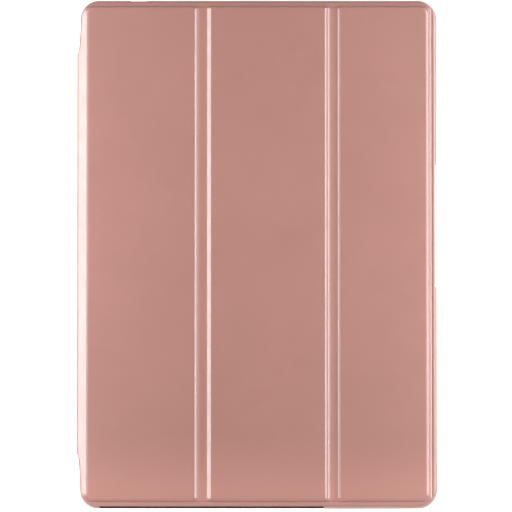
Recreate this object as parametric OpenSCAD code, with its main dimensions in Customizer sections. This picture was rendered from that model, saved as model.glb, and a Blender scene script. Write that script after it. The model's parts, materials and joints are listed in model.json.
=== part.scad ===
// Tablet computer in a slim tri-fold cover case, in millimetres.
// It lies on its back with the cover closed: +X runs from the spine to the cover's free edge,
// +Y towards the top edge of the screen, +Z out of the screen. The origin is the middle of the
// underside of the whole closed object.

/* [Case shell] */
// Length of the shell along Y
shell_l = 254; // [246:1:262]
// Width of the shell along X
shell_w = 178.2; // [172:0.2:184]
// Corner radius of the shell seen from the front
shell_r = 9.5; // [9:0.5:10]
// Thickness of the shell's back
shell_floor = 1.6; // [1.5:0.1:2]
// Thickness of the shell's side walls
shell_wall = 1.5; // [1.4:0.1:1.6]
// Gap between the shell and the tablet
fit_gap = 0.2; // [0.15:0.05:0.25]

/* [Tablet] */
// Thickness of the tablet, back to glass
tab_t = 7.5; // [7.4:0.1:7.6]
// Thickness of the housing's back
tab_floor = 0.9; // [0.8:0.1:0.9]
// Thickness of the front glass
glass_t = 0.8; // [0.7:0.1:0.8]
// Long side of the lit screen
screen_l = 213.4; // [205:0.2:214]
// Short side of the lit screen
screen_w = 160; // [152:0.5:160]
// How far a key or rocker stands out of the side
key_proud = 0.5; // [0.3:0.1:0.6]

/* [Cover] */
// Thickness of the outer leather
skin_t = 0.5; // [0.4:0.1:0.6]
// Thickness of the stiffening boards
board_t = 1.3; // [1.2:0.1:1.5]
// Thickness of the soft lining
lining_t = 0.4; // [0.3:0.1:0.5]
// Width of the leather rim round the boards at the top, the bottom and the free edge
rim = 3.4; // [3:0.1:4]
// Width of the first board, next to the spine
board_1_w = 53.7; // [50:0.1:55]
// Width of the middle board
board_2_w = 58.4; // [54:0.2:59]
// Width of the fold channel between the first two boards
channel_1_w = 7.6; // [7:0.2:8]
// Width of the fold channel between the last two boards
channel_2_w = 7; // [6.8:0.2:8]
// Length of the spine, shorter than the shell so that its corners stay clear
spine_l = 201; // [190:1:210]
// How far the spine bulges past the shell
spine_bulge = 1.7; // [1.6:0.1:2]

/* [Hidden] */
$fn = 64;
eps = 0.01;

// Frame: the closed object's box is centred on the origin.
shell_cx = spine_bulge / 2;
shell_left = shell_cx - shell_w / 2;
shell_right = shell_cx + shell_w / 2;

// Tablet outline and levels.
tab_inset = shell_wall + fit_gap;
tab_w = shell_w - 2 * tab_inset;
tab_l = shell_l - 2 * tab_inset;
tab_r = shell_r - tab_inset;
tab_z0 = shell_floor + 0.1;
tab_top = tab_z0 + tab_t;
inner_z = tab_z0 + tab_floor;
rim_z = tab_top - 0.2;
glass_z0 = tab_top - glass_t;
gasket_t = 0.2;
ledge_z = glass_z0 - gasket_t;
glass_inset = 0.9;
side_wall = 1.6;
ledge_w = 2.6;
half_w = tab_w / 2;
half_l = tab_l / 2;
side_z = (tab_z0 + rim_z) / 2;

// Levels of the display stack, from the glass down.
lcd_t = 1.05;
lcd_z0 = glass_z0 - 0.05 - lcd_t;
guide_t = 0.9;
guide_z0 = lcd_z0 - guide_t;
pan_t = 0.3;
pan_z0 = guide_z0 - pan_t;
pan_margin = 2;

// Shell height and grip lip.
shell_h = tab_top + 0.5;
lip_w = 0.45;
outer_fillet = 3.6;
inner_fillet = 2.6;

// Cover levels and outline, from the shell's left edge.
cover_z0 = shell_h + 0.2;
cover_top = cover_z0 + lining_t + board_t + skin_t;
flap_left = shell_left + 0.2;
flap_right = shell_right - 0.9;
flap_half_l = shell_l / 2 - 0.85;
flap_y = 0.4;
flap_r = 9;
board_x0 = shell_left + 3.4;
board_x1 = board_x0 + board_1_w + channel_1_w;
board_x = [board_x0, board_x1, board_x1 + board_2_w + channel_2_w];
free_rim = rim + 0.3;
board_w = [board_1_w, board_2_w, flap_right - free_rim - board_x[2]];
board_half_l = flap_half_l - rim;
board_r = 3.4;
board_r_fold = 0.8;
fold_x = [board_x[1] - channel_1_w / 2, board_x[2] - channel_2_w / 2];

// Spine plate and the strip that carries its leather on to the back.
spine_x0 = shell_left - spine_bulge;
spine_t = 1;
spine_z0 = 4.2;
spine_z1 = cover_z0 - 0.3;
strip_t = 0.8;
strip_w = 32;

// Where the shell is cut away along its right and bottom edges.
key_cut = [-16.3, 44.8];
port_cut = [-79.3, 32.5];
cut_z = 2.6;
key_cut_z = 1.1;

// Places along the right edge of the tablet.
power_y = 33;
power_l = 10;
volume_y = 12.5;
volume_l = 20;
key_h = 2;
key_gap = 0.15;
tray_y = -6;
tray_face_l = 14;
tray_w = 12.4;
tray_l = 24.4;
tray_t = 1;

// Boards and their parts.
pcb_t = 0.8;
pcb_x = [50, 83];
pcb_y = [-40, 100];
pcb_z0 = inner_z + 0.9;
pcb_top = pcb_z0 + pcb_t;
tray_z = pcb_top + 0.85;
screw_at = [[53, -36], [80, -30], [53, 30], [53, 96], [80, 60], [80, 96]];
port_board_z0 = inner_z + 0.3;
port_board_top = port_board_z0 + pcb_t;
port_screw_at = [[-22, -107], [22, -107]];
screw_r = 0.8;
usb_w = 8.94;
usb_h = 3.16;
usb_len = 7.6;
usb_z = port_board_top + usb_h / 2 + 0.05;
speaker_x = 46;
speaker_hole_r = 0.7;
speaker_hole_pitch = 2.4;
speaker_holes = 8;
jack_x = -60;
jack_r = 1.8;
jack_len = 14;
jack_z = side_z;
rear_cam = [70, 115];
flash_at = [58, 115];
front_cam = [0, 117];
magnet_y = [-100, -62, 62, 100];

// Batteries.
cell_w = 63;
cell_l = 196;
cell_t = 3.1;
cell_x = [-82, -16];
cell_z0 = inner_z + 0.15;

// Points on an arc from angle a0 to a1 about [x, y].
function arc(x, y, r, a0, a1, n) =
    [for (i = [0:n]) [x + r * cos(a0 + (a1 - a0) * i / n), y + r * sin(a0 + (a1 - a0) * i / n)]];

// Moves from the object's frame to the middle of the tablet and the shell.
module at_tablet() { translate([shell_cx, 0, 0]) children(); }

// Sweeps a profile round a rounded rectangle. The profile's x is measured outward from the
// corner centres, so x = r is the outer wall, and its y is the height.
module sweep_ring(w, l, r) {
    for (k = [0:3]) {
        out = k % 2 == 0 ? w : l;
        along = k % 2 == 0 ? l : w;
        rotate([0, 0, 90 * k]) {
            translate([out / 2 - r, 0, 0])
                rotate([90, 0, 0])
                    linear_extrude(height = along - 2 * r, center = true) children();
            translate([out / 2 - r, along / 2 - r, 0])
                rotate_extrude(angle = 90) children();
        }
    }
}

// A flat rounded rectangle centred on the origin.
module round_rect(w, l, r) {
    square([w - 2 * r, l], center = true);
    square([w, l - 2 * r], center = true);
    for (x = [-1, 1], y = [-1, 1])
        translate([x * (w / 2 - r), y * (l / 2 - r)]) circle(r);
}

// A flat slot with round ends, length along x.
module slot_2d(len, wid) {
    square([len - wid, wid], center = true);
    for (x = [-1, 1]) translate([x * (len - wid) / 2, 0]) circle(wid / 2);
}

// Extrudes a flat shape towards +X: its x becomes Y and its y becomes Z.
module extrude_x(x0, x1) {
    translate([x0, 0, 0]) rotate([90, 0, 90]) linear_extrude(height = x1 - x0) children();
}

// Extrudes a flat shape from y0 to y1: its x stays X and its y becomes Z.
module extrude_y(y0, y1) {
    translate([0, y1, 0]) rotate([90, 0, 0]) linear_extrude(height = y1 - y0) children();
}

// A box from one corner to the other.
module block(x, y, z) {
    translate([x[0], y[0], z[0]]) cube([x[1] - x[0], y[1] - y[0], z[1] - z[0]]);
}

// ---------------------------------------------------------------- case

module shell_profile() {
    r = shell_r;
    t = shell_wall;
    polygon(concat(
        [[0, 0]],
        arc(r - outer_fillet, outer_fillet, outer_fillet, -90, 0, 8),
        [[r, shell_h - 0.4], [r - 0.4, shell_h], [r - t - lip_w, shell_h],
         [r - t - lip_w, shell_h - 0.25], [r - t, shell_h - 0.6]],
        arc(r - t - inner_fillet, shell_floor + inner_fillet, inner_fillet, 0, -90, 6),
        [[0, shell_floor]]));
}

module shell_cutouts() {
    // Keys and card tray, along the right edge.
    block([half_w - 1, half_w + 6], key_cut, [key_cut_z, shell_h + 1]);
    // Port and left speaker, along the bottom edge.
    block(port_cut, [-half_l - 6, -half_l + 1], [cut_z, shell_h + 1]);
    // Sound slot for the right speaker.
    translate([speaker_x, 0, side_z])
        extrude_y(-half_l - 6, -half_l + 1) slot_2d(speaker_holes * speaker_hole_pitch, 2.4);
    // Headphone plug, at the top edge.
    translate([jack_x, 0, jack_z]) extrude_y(half_l - 1, half_l + 6) circle(4);
    block([jack_x - 4, jack_x + 4], [half_l - 1, half_l + 6], [jack_z, shell_h + 1]);
    // Microphone.
    translate([0, 0, side_z]) extrude_y(half_l - 1, half_l + 6) circle(1);
    // Camera and flash window in the back.
    translate([(rear_cam[0] + flash_at[0]) / 2 + 1, rear_cam[1], -1])
        linear_extrude(height = shell_floor + 2) round_rect(30, 17, 6);
}

module case_shell() {
    color([0.91, 0.74, 0.70])
    difference() {
        at_tablet() difference() {
            union() {
                sweep_ring(shell_w, shell_l, shell_r) shell_profile();
                translate([0, 0, shell_floor / 2])
                    cube([shell_w - 2 * shell_r, shell_l - 2 * shell_r, shell_floor], center = true);
            }
            shell_cutouts();
        }
        // Recess for the leather that wraps from the spine onto the back.
        block([shell_left - 1, shell_left + strip_w + 0.2],
              [-spine_l / 2 - 0.2, spine_l / 2 + 0.2], [-1, strip_t + 0.05]);
    }
}

module back_strip() {
    color([0.76, 0.55, 0.50])
    block([shell_left + outer_fillet, shell_left + strip_w], [-spine_l / 2, spine_l / 2], [0, strip_t]);
}

module spine_layer(x0, x1) {
    block([x0, x1], [-spine_l / 2, spine_l / 2], [spine_z0, spine_z1]);
}

module spine_skin() {
    color([0.80, 0.60, 0.55]) spine_layer(spine_x0, spine_x0 + 0.6);
}

module spine_lining() {
    color([0.62, 0.60, 0.60]) spine_layer(spine_x0 + 0.6, spine_x0 + spine_t);
}

// ---------------------------------------------------------------- cover

// The whole flap's outline, and the part of it between two places along X.
module flap_outline(x0, x1) {
    translate([0, flap_y]) intersection() {
        translate([(flap_left + flap_right) / 2, 0])
            round_rect(flap_right - flap_left, 2 * flap_half_l, flap_r);
        translate([x0, -flap_half_l]) square([x1 - x0, 2 * flap_half_l]);
    }
}

// A board's outline: large radii at the flap's own corners, small ones beside a fold.
module board_outline(n, grow) {
    x0 = board_x[n] - grow;
    x1 = board_x[n] + board_w[n] + grow;
    y1 = board_half_l + grow;
    left_r = n == 0 ? board_r : board_r_fold;
    right_r = n == 2 ? board_r : board_r_fold;
    middle = (x0 + x1) / 2;
    translate([0, flap_y]) {
        half_board(x0, middle, y1, left_r);
        translate([2 * middle, 0]) mirror([1, 0]) half_board(x0, middle, y1, right_r);
    }
}

// The left half of a board, with its two outer corners rounded.
module half_board(x0, x1, y1, r) {
    translate([x0 + r, -y1]) square([x1 - x0 - r, 2 * y1]);
    translate([x0, r - y1]) square([r, 2 * (y1 - r)]);
    for (y = [-1, 1]) translate([x0 + r, y * (y1 - r)]) circle(r);
}

// The stretch of the flap that belongs to one board, up to the middle of its fold channels.
function panel_x(n) = [n == 0 ? flap_left : fold_x[n - 1], n == 2 ? flap_right : fold_x[n]];

module cover_lining(n) {
    color([0.60, 0.58, 0.58])
    translate([0, 0, cover_z0])
        linear_extrude(height = lining_t) flap_outline(panel_x(n)[0], panel_x(n)[1]);
}

module cover_skin(n) {
    color([0.75, 0.54, 0.49])
    difference() {
        union() {
            translate([0, 0, cover_z0 + lining_t])
                linear_extrude(height = skin_t) flap_outline(panel_x(n)[0], panel_x(n)[1]);
            translate([0, 0, cover_z0 + lining_t])
                linear_extrude(height = board_t + skin_t) board_outline(n, skin_t);
        }
        translate([0, 0, cover_z0 + lining_t - 1])
            linear_extrude(height = board_t + 1) board_outline(n, 0);
    }
}

magnet_size = [3, 18, 1];

// Bar magnets let into a board, with their tops flush with it.
module board_magnets(x, places, gap) {
    for (y = places)
        translate([x - magnet_size[0] / 2 - gap, y - magnet_size[1] / 2 - gap,
                   cover_z0 + lining_t + board_t - magnet_size[2] - gap])
            cube([magnet_size[0] + 2 * gap, magnet_size[1] + 2 * gap, magnet_size[2] + 2 * gap]);
}

closure_x = board_x[2] + board_w[2] - 5;
stand_x = board_x[0] + 5;
stand_y = [-60, 60];

module cover_board(n) {
    color([0.55, 0.50, 0.44])
    difference() {
        translate([0, 0, cover_z0 + lining_t])
            linear_extrude(height = board_t) board_outline(n, 0);
        if (n == 2) board_magnets(closure_x, magnet_y, 0.05);
        if (n == 0) board_magnets(stand_x, stand_y, 0.05);
    }
}

module closure_magnets() {
    color([0.75, 0.75, 0.77]) board_magnets(closure_x, magnet_y, 0);
}

module stand_magnets() {
    color([0.75, 0.75, 0.77]) board_magnets(stand_x, stand_y, 0);
}

// ---------------------------------------------------------------- tablet: housing and front

module housing_profile() {
    r = tab_r;
    fillet = 3.3;
    inner = 1.6;
    polygon(concat(
        [[0, tab_z0]],
        arc(r - fillet, tab_z0 + fillet, fillet, -90, 0, 8),
        [[r, rim_z - 0.2], [r - 0.2, rim_z], [r - glass_inset + 0.1, rim_z],
         [r - glass_inset + 0.1, ledge_z], [r - ledge_w, ledge_z],
         [r - ledge_w, ledge_z - 0.6], [r - side_wall, ledge_z - 1.6]],
        arc(r - side_wall - inner, inner_z + inner, inner, 0, -90, 5),
        [[0, inner_z]]));
}

module screw_bosses(places, top) {
    for (p = places)
        translate([p[0], p[1], inner_z - eps]) cylinder(r = 2, h = top - inner_z + eps);
}

module screw_holes(places, top) {
    for (p = places)
        translate([p[0], p[1], inner_z - 0.4]) cylinder(r = screw_r + 0.05, h = top - inner_z + 1);
}

module housing_cutouts() {
    // Keys and card tray.
    translate([0, power_y, side_z])
        extrude_x(half_w - 4, half_w + 1) slot_2d(power_l + 2 * key_gap, key_h + 2 * key_gap);
    translate([0, volume_y, side_z])
        extrude_x(half_w - 4, half_w + 1) slot_2d(volume_l + 2 * key_gap, key_h + 2 * key_gap);
    translate([0, tray_y, tray_z])
        extrude_x(half_w - 0.8, half_w + 1) slot_2d(tray_face_l + 0.2, key_h + 0.2);
    translate([0, tray_y, tray_z])
        extrude_x(half_w - 4, half_w + 1) square([tray_w + 0.4, tray_t + 0.4], center = true);
    // Charging port.
    translate([0, 0, usb_z]) extrude_y(-half_l - 1, -half_l + 4) slot_2d(usb_w + 0.3, usb_h + 0.3);
    // Speaker holes, in a row on each side of the port.
    for (s = [-1, 1], i = [0:speaker_holes - 1])
        translate([s * (speaker_x + (i - (speaker_holes - 1) / 2) * speaker_hole_pitch), 0, side_z])
            extrude_y(-half_l - 1, -half_l + 4) circle(speaker_hole_r);
    // Headphone jack and microphone.
    translate([jack_x, 0, jack_z]) extrude_y(half_l - 4, half_l + 1) circle(2.5);
    translate([0, 0, side_z]) extrude_y(half_l - 4, half_l + 1) circle(0.5);
    // Rear camera and flash.
    translate([rear_cam[0], rear_cam[1], tab_z0 - 1]) cylinder(r = 5.5, h = 3);
    translate([flash_at[0], flash_at[1], tab_z0 - 1]) cylinder(r = 2, h = 3);
}

module rear_housing() {
    color([0.30, 0.30, 0.32])
    at_tablet() difference() {
        union() {
            sweep_ring(tab_w, tab_l, tab_r) housing_profile();
            translate([0, 0, tab_z0 + tab_floor / 2])
                cube([tab_w - 2 * tab_r, tab_l - 2 * tab_r, tab_floor], center = true);
            screw_bosses(screw_at, pcb_z0);
            screw_bosses(port_screw_at, port_board_z0);
        }
        screw_holes(screw_at, pcb_z0);
        screw_holes(port_screw_at, port_board_z0);
        housing_cutouts();
    }
}

glass_w = tab_w - 2 * glass_inset;
glass_l = tab_l - 2 * glass_inset;
glass_r = tab_r - glass_inset;

module cover_glass() {
    color([0.03, 0.03, 0.035])
    at_tablet() translate([0, 0, glass_z0])
        linear_extrude(height = glass_t) round_rect(glass_w, glass_l, glass_r);
}

module glass_gasket() {
    inner_r = 5.5;
    width = 1.5;
    color([0.12, 0.12, 0.12])
    at_tablet() translate([0, 0, ledge_z])
        linear_extrude(height = gasket_t) difference() {
            round_rect(glass_w, glass_l, glass_r);
            round_rect(glass_w - 2 * width, glass_l - 2 * width, inner_r);
        }
}

module lcd_panel() {
    color([0.06, 0.07, 0.09])
    at_tablet() translate([0, 0, lcd_z0 + lcd_t / 2])
        cube([screen_w + 2, screen_l + 3, lcd_t], center = true);
}

module backlight_guide() {
    color([0.93, 0.94, 0.96])
    at_tablet() translate([0, 0, guide_z0 + guide_t / 2])
        cube([screen_w + 1.6, screen_l + 2.6, guide_t], center = true);
}

module display_pan() {
    w = screen_w + 2 + pan_margin;
    l = screen_l + 3 + pan_margin;
    color([0.70, 0.71, 0.72])
    at_tablet() difference() {
        block([-w / 2, w / 2], [-l / 2, l / 2], [pan_z0, lcd_z0 + 0.6]);
        block([-w / 2 + 0.4, w / 2 - 0.4], [-l / 2 + 0.4, l / 2 - 0.4], [guide_z0, lcd_z0 + 2]);
    }
}

// A flat cable that leaves the screen's back, drops and ends on the mainboard.
module display_cable() {
    y = [40, 54];
    t = 0.15;
    color([0.75, 0.50, 0.20])
    at_tablet() {
        block([47.6, 49], y, [pan_z0 - t - 0.02, pan_z0 - 0.02]);
        block([49 - t, 49], y, [pcb_top + 0.7, pan_z0 - t - 0.02]);
        block([49 - t, 56.8], y, [pcb_top + 0.7, pcb_top + 0.7 + t]);
        block([51, 56.6], [y[0] + 1, y[1] - 1], [pcb_top, pcb_top + 0.7]);
    }
}

// ---------------------------------------------------------------- tablet: power and boards

module battery_cell(n) {
    color([0.20, 0.20, 0.22])
    at_tablet() translate([cell_x[n] + cell_w / 2, 0, cell_z0])
        linear_extrude(height = cell_t) round_rect(cell_w, cell_l, 1.5);
}

module battery_adhesive() {
    color([0.90, 0.90, 0.88])
    at_tablet() for (n = [0, 1], k = [0:2])
        translate([cell_x[n] + 8 + k * 19, -cell_l / 2 + 6, inner_z])
            cube([9, cell_l - 12, cell_z0 - inner_z]);
}

module battery_board() {
    y0 = cell_l / 2 + 0.5;
    color([0.10, 0.22, 0.16])
    at_tablet() {
        block([-44, 36], [y0, y0 + 5], [inner_z + 0.6, inner_z + 1.4]);
        for (x = [-38, -24, 2, 16, 28])
            block([x, x + 4], [y0 + 1.2, y0 + 3.6], [inner_z + 1.4, inner_z + 2.1]);
    }
}

module battery_lead() {
    color([0.75, 0.50, 0.20])
    at_tablet() {
        block([36, 48.5], [cell_l / 2 + 1.5, cell_l / 2 + 4.5], [inner_z + 1.2, inner_z + 1.4]);
        block([48.3, 48.5], [cell_l / 2 - 9, cell_l / 2 + 4.5], [inner_z + 1.4, pcb_top + 0.6]);
        block([48.5, 54], [cell_l / 2 - 9, cell_l / 2 - 4], [pcb_top + 0.4, pcb_top + 0.6]);
        block([51, 54], [cell_l / 2 - 9, cell_l / 2 - 4], [pcb_top, pcb_top + 0.4]);
    }
}

module mainboard() {
    color([0.08, 0.30, 0.20])
    at_tablet() difference() {
        block(pcb_x, pcb_y, [pcb_z0, pcb_top]);
        screw_holes(screw_at, pcb_top);
    }
}

// Shield cans: x and y extents of each.
shield_can = [[[56, 78], [62, 82]], [[56, 76], [8, 28]]];
shield_h = 1.4;
can_t = 0.2;

module shield(n) {
    x = shield_can[n][0];
    y = shield_can[n][1];
    color([0.72, 0.73, 0.74])
    at_tablet() difference() {
        block(x, y, [pcb_top, pcb_top + shield_h]);
        block([x[0] + can_t, x[1] - can_t], [y[0] + can_t, y[1] - can_t],
              [pcb_top - 1, pcb_top + shield_h - can_t]);
    }
}

module chip(centre, size, height) {
    translate([centre[0] - size[0] / 2, centre[1] - size[1] / 2, pcb_top])
        cube([size[0], size[1], height]);
}

module processor() {
    color([0.12, 0.12, 0.13]) at_tablet() chip([64.5, 72], [14, 14], 0.9);
}

module memory_chips() {
    color([0.10, 0.10, 0.11]) at_tablet() {
        chip([74.5, 76.5], [5.5, 8.5], 0.9);
        chip([74.5, 67], [5.5, 8.5], 0.9);
    }
}

module power_chip() {
    color([0.10, 0.10, 0.11]) at_tablet() chip([62, 18], [7, 7], 0.8);
}

module radio_chip() {
    color([0.10, 0.10, 0.11]) at_tablet() chip([71, 18], [5, 9], 0.8);
}

module heat_spreader() {
    color([0.18, 0.18, 0.19])
    at_tablet() block([55, 79], [5, 84], [pcb_top + shield_h, pcb_top + shield_h + 0.15]);
}

module hall_sensor() {
    color([0.08, 0.08, 0.08]) at_tablet() chip([75, -34], [2.9, 1.6], 1);
}

module screw_set(places, seat, depth) {
    for (p = places)
        translate([p[0], p[1], seat]) difference() {
            union() {
                cylinder(r = 1.4, h = 0.6);
                translate([0, 0, -depth]) cylinder(r = screw_r, h = depth + eps);
            }
            translate([0, 0, 0.3]) cylinder(r = 0.6, h = 1, $fn = 6);
        }
}

module board_screws() {
    color([0.60, 0.60, 0.62]) at_tablet() screw_set(screw_at, pcb_top, pcb_top - inner_z + 0.3);
}

module port_screws() {
    color([0.60, 0.60, 0.62])
    at_tablet() screw_set(port_screw_at, port_board_top, port_board_top - inner_z + 0.3);
}

module port_board() {
    color([0.08, 0.30, 0.20])
    at_tablet() difference() {
        block([-25, 25], [-122, -104], [port_board_z0, port_board_top]);
        screw_holes(port_screw_at, port_board_top);
    }
}

module usb_port() {
    mouth = -half_l + 0.5;
    color([0.80, 0.80, 0.82])
    at_tablet() translate([0, 0, usb_z]) difference() {
        extrude_y(mouth, mouth + usb_len) slot_2d(usb_w, usb_h);
        difference() {
            extrude_y(mouth - 1, mouth + usb_len - 1) slot_2d(usb_w - 0.6, usb_h - 0.6);
            block([-3.4, 3.4], [mouth + 1, mouth + usb_len], [-0.35, 0.35]);
        }
    }
}

// The flat cable from the port board to the mainboard.
module main_cable() {
    t = 0.2;
    y0 = -cell_l / 2 - 7;
    color([0.75, 0.50, 0.20])
    at_tablet() {
        block([14, 62], [y0 - 2, y0 + 4], [port_board_top + 0.7, port_board_top + 0.7 + t]);
        block([14, 20], [y0 - 2, y0 - 0.1], [port_board_top, port_board_top + 0.7]);
        block([56, 62], [y0 + 4, pcb_y[0] - 0.5], [port_board_top + 0.7, port_board_top + 0.7 + t]);
        block([56, 62], [pcb_y[0] - 0.7, pcb_y[0] - 0.5], [port_board_top + 0.9, pcb_top + 0.9]);
        block([56, 62], [pcb_y[0] - 0.7, pcb_y[0] + 5], [pcb_top + 0.7, pcb_top + 0.9]);
        block([56, 62], [pcb_y[0] + 1, pcb_y[0] + 5], [pcb_top, pcb_top + 0.7]);
    }
}

module speaker(side) {
    y0 = -half_l + 4.2;
    size = [32, 11, 4.6];
    color([0.10, 0.10, 0.11])
    at_tablet() translate([side * speaker_x, y0 + size[1] / 2, inner_z + 0.1]) difference() {
        linear_extrude(height = size[2]) round_rect(size[0], size[1], 2);
        translate([0, 0, size[2] - 0.6]) linear_extrude(height = 2) slot_2d(24, 7);
    }
}

module headphone_jack() {
    mouth = half_l - 0.4;
    color([0.12, 0.12, 0.13])
    at_tablet() difference() {
        union() {
            translate([jack_x, 0, jack_z]) extrude_y(mouth - 2.6, mouth) circle(2.35);
            block([jack_x - 3, jack_x + 3], [mouth - jack_len, mouth - 2.5],
                  [inner_z + 0.1, jack_z + 2.4]);
        }
        translate([jack_x, 0, jack_z]) extrude_y(mouth - jack_len + 1, mouth + 1) circle(jack_r);
    }
}

module microphone() {
    color([0.78, 0.68, 0.42])
    at_tablet() block([-1.9, 1.9], [half_l - 3.6, half_l - 2.4], [side_z - 1.3, side_z + 1.3]);
}

module front_camera() {
    color([0.05, 0.05, 0.06])
    at_tablet() translate([front_cam[0], front_cam[1], 0]) {
        block([-3.5, 3.5], [-3.5, 3.5], [glass_z0 - 4.2, glass_z0 - 1.4]);
        translate([0, 0, glass_z0 - 1.4 - eps]) cylinder(r = 2.6, h = 1.3);
    }
}

module light_sensor() {
    color([0.20, 0.18, 0.22])
    at_tablet() block([11, 14], [116, 118], [glass_z0 - 0.9, glass_z0 - 0.1]);
}

module rear_camera() {
    color([0.05, 0.05, 0.06])
    at_tablet() translate([rear_cam[0], rear_cam[1], 0]) {
        block([-4.5, 4.5], [-4.5, 4.5], [inner_z + 0.2, inner_z + 4.8]);
        translate([0, 0, tab_z0 + 0.75]) cylinder(r = 3, h = inner_z + 0.2 - tab_z0 - 0.7);
    }
}

module camera_ring() {
    color([0.62, 0.62, 0.64])
    at_tablet() translate([rear_cam[0], rear_cam[1], tab_z0]) difference() {
        cylinder(r = 5.4, h = 0.8);
        translate([0, 0, -1]) cylinder(r = 4.5, h = 3);
    }
}

module camera_lens() {
    color([0.04, 0.05, 0.08])
    at_tablet() translate([rear_cam[0], rear_cam[1], tab_z0 + 0.1]) cylinder(r = 4.4, h = 0.6);
}

module flash_lens() {
    color([0.95, 0.93, 0.85])
    at_tablet() translate([flash_at[0], flash_at[1], tab_z0 + 0.05]) cylinder(r = 1.9, h = 1);
}

module antenna(n) {
    x = [[-45, -12], [-82, -63]][n];
    y = [[113, 121], [-121, -110.5]][n];
    color([0.16, 0.16, 0.17])
    at_tablet() block(x, y, [ledge_z - 2, ledge_z - 1.1]);
}

module tablet_magnets() {
    color([0.75, 0.75, 0.77])
    at_tablet() for (y = magnet_y)
        block([half_w - 4.6, half_w - 2.8], [y - 9, y + 9], [ledge_z - 2.4, ledge_z - 0.4]);
}

// ---------------------------------------------------------------- tablet: keys and tray

dome_x = half_w - 3.9;

module key_cable() {
    color([0.75, 0.50, 0.20])
    at_tablet() block([dome_x - 0.2, dome_x], [2, 40], [side_z - 1.2, side_z + 0.7]);
}

module key_domes() {
    color([0.82, 0.82, 0.80])
    at_tablet() for (y = [power_y, volume_y - 7, volume_y + 7])
        translate([0, y, side_z]) extrude_x(dome_x, dome_x + 0.45) circle(0.6);
}

// A key: a cap in its slot, a flange behind the wall and one stem for each switch.
module key(y, len, stems) {
    at_tablet() translate([0, y, side_z]) {
        extrude_x(half_w - 2.05, half_w + key_proud) slot_2d(len, key_h);
        extrude_x(half_w - 2.65, half_w - 2) square([len + 2, key_h + 0.6], center = true);
        for (s = stems)
            translate([0, s, 0]) extrude_x(half_w - 3.15, half_w - 2.6) circle(0.7);
    }
}

module power_key() {
    color([0.34, 0.34, 0.36]) key(power_y, power_l, [0]);
}

module volume_rocker() {
    color([0.34, 0.34, 0.36]) key(volume_y, volume_l, [-7, 7]);
}

module card_tray() {
    x1 = half_w - 0.75;
    color([0.34, 0.34, 0.36])
    at_tablet() translate([0, tray_y, tray_z]) difference() {
        union() {
            extrude_x(x1, half_w - 0.05) slot_2d(tray_face_l, key_h);
            block([x1 - tray_l, x1 + eps], [-tray_w / 2, tray_w / 2], [-tray_t / 2, tray_t / 2]);
        }
        // Seat for the card, and the pin hole that releases the tray.
        block([x1 - tray_l + 1, x1 - tray_l + 10.2], [-tray_w / 2 + 0.9, tray_w / 2 - 0.9],
              [-tray_t / 2 + 0.3, tray_t]);
        block([x1 - tray_l + 2, x1 - tray_l + 9.2], [-tray_w / 2 + 1.9, tray_w / 2 - 1.9], [-tray_t, tray_t]);
        translate([0, tray_w / 2 - 1.5, 0]) extrude_x(half_w - 3, half_w + 1) circle(0.4);
    }
}

module card_reader() {
    x = [half_w - 27, half_w - 2.8];
    color([0.74, 0.75, 0.76])
    at_tablet() difference() {
        block(x, [tray_y - 7, tray_y + 7], [pcb_top, pcb_top + 1.7]);
        block([x[0] + 0.8, x[1] + 1], [tray_y - tray_w / 2 - 0.2, tray_y + tray_w / 2 + 0.2],
              [tray_z - tray_t / 2 - 0.15, tray_z + tray_t / 2 + 0.15]);
    }
}

// ---------------------------------------------------------------- nodes

case_shell();
back_strip();
spine_skin();
spine_lining();
cover_skin(0);  // cover_skin_1
cover_skin(1);  // cover_skin_2
cover_skin(2);  // cover_skin_3
cover_board(0);  // cover_board_1
cover_board(1);  // cover_board_2
cover_board(2);  // cover_board_3
cover_lining(0);  // cover_lining_1
cover_lining(1);  // cover_lining_2
cover_lining(2);  // cover_lining_3
stand_magnets();
closure_magnets();
rear_housing();
cover_glass();
glass_gasket();
lcd_panel();
backlight_guide();
display_pan();
display_cable();
battery_cell(0);  // battery_cell_left
battery_cell(1);  // battery_cell_right
battery_adhesive();
battery_board();
battery_lead();
mainboard();
shield(0);  // processor_shield
shield(1);  // radio_shield
processor();
memory_chips();
power_chip();
radio_chip();
heat_spreader();
hall_sensor();
board_screws();
port_board();
port_screws();
usb_port();
main_cable();
speaker(-1);  // speaker_left
speaker(1);  // speaker_right
headphone_jack();
microphone();
front_camera();
light_sensor();
rear_camera();
camera_ring();
camera_lens();
flash_lens();
antenna(0);  // antenna_top
antenna(1);  // antenna_bottom
tablet_magnets();
key_cable();
key_domes();
power_key();
volume_rocker();
card_tray();
card_reader();
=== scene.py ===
import json
import math

import bmesh
import bpy
import numpy as np
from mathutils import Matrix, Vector


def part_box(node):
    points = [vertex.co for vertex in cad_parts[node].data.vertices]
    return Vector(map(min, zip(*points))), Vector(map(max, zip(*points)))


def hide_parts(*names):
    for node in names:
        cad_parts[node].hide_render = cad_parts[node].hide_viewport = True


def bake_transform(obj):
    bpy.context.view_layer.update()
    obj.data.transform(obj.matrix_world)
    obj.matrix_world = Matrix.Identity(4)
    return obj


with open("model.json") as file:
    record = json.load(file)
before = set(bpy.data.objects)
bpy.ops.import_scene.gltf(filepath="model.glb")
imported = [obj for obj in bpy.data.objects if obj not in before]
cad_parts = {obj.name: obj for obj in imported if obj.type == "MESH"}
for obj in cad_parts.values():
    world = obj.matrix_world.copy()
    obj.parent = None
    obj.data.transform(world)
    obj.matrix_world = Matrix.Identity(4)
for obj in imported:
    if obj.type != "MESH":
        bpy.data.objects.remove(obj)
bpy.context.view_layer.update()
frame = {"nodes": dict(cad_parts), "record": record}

NODES = frame["nodes"]
MM = 0.001
# The wave texture's scale at which its stripes are one unit apart.
WAVE_SCALE = 0.3141593


# ------------------------------------------------------------------ material graphs

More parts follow.
